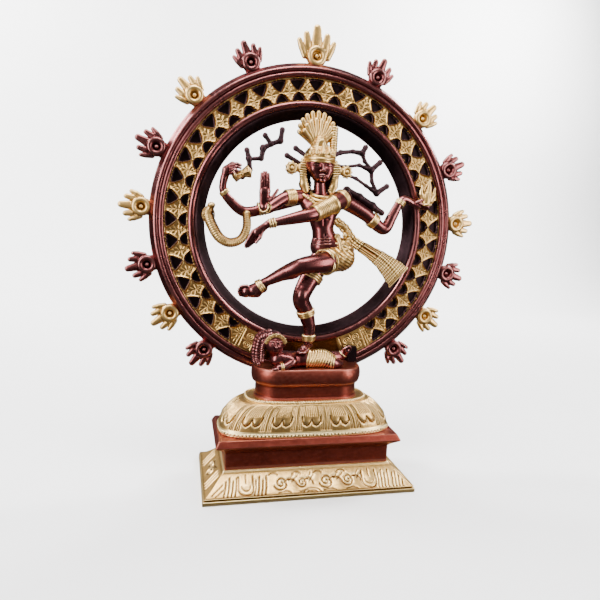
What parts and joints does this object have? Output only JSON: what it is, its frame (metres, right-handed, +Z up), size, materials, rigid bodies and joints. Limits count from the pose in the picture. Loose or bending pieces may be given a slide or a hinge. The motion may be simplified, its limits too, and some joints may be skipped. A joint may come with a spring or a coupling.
{
  "type": "brass nataraja statue",
  "caption": "Cast brass dancing figure on a reclining dwarf, framed by a pierced ring with flames, on an oval drum, lotus pedestal and rectangular stepped base.",
  "frame": {"origin": "middle of the foot's rectangle, on the surface that the statue stands on", "axes": "+X to the viewer's right, +Y to the back, +Z up"},
  "size_m": [0.2506, 0.072, 0.305],
  "materials": {
    "gold_brass": "pale gold lacquer over engraved relief, brown in the recesses",
    "copper_bronze": "dark copper lacquer, burnished pinkish highlights, semi-gloss",
    "red_copper": "red-brown copper lacquer, satin",
    "dark_patina": "near-black patina, satin",
    "steel": "plain zinc-plated fixings"
  },
  "bodies": {
    "root": {"base_skirt": "gold_brass", "plinth_block": "red_copper", "lotus_pedestal": "gold_brass", "lotus_lower_bead": "gold_brass", "lotus_upper_rim": "gold_brass", "drum_neck": "copper_bronze", "drum_cushion": "copper_bronze", "through_bolt": "steel", "bolt_washer": "steel", "bolt_nut": "steel", "ring_outer_rim": "copper_bronze", "ring_inner_bead": "copper_bronze", "ring_inner_lip": "dark_patina", "ring_web": "dark_patina", "ring_lattice": "gold_brass", "ring_posts": "dark_patina", "ring_screws": "steel", "flame_left_7": "copper_bronze", "flame_left_6": "gold_brass", "flame_left_5": "copper_bronze", "flame_left_4": "gold_brass", "flame_left_3": "copper_bronze", "flame_left_2": "gold_brass", "flame_left_1": "copper_bronze", "flame_top": "gold_brass", "flame_right_1": "copper_bronze", "flame_right_2": "gold_brass", "flame_right_3": "copper_bronze", "flame_right_4": "gold_brass", "flame_right_5": "copper_bronze", "flame_right_6": "gold_brass", "flame_right_7": "copper_bronze", "dwarf_body": "copper_bronze", "dwarf_head": "copper_bronze", "dwarf_hair": "copper_bronze", "dwarf_loincloth": "gold_brass", "torso": "copper_bronze", "head": "copper_bronze", "crown_crest": "gold_brass", "crown_band": "gold_brass", "ear_ornaments": "gold_brass", "hair_strands_left": "dark_patina", "hair_strands_right": "dark_patina", "necklace": "gold_brass", "waist_belt": "copper_bronze", "loincloth": "gold_brass", "sash": "gold_brass", "front_left_arm": "copper_bronze", "front_right_arm": "copper_bronze", "rear_left_arm": "copper_bronze", "rear_right_arm": "copper_bronze", "arm_bands": "gold_brass", "hand_drum": "gold_brass", "hand_flame": "gold_brass", "cobra": "gold_brass", "standing_leg": "copper_bronze", "raised_leg": "copper_bronze", "anklets": "gold_brass"}
  },
  "joints": []
}
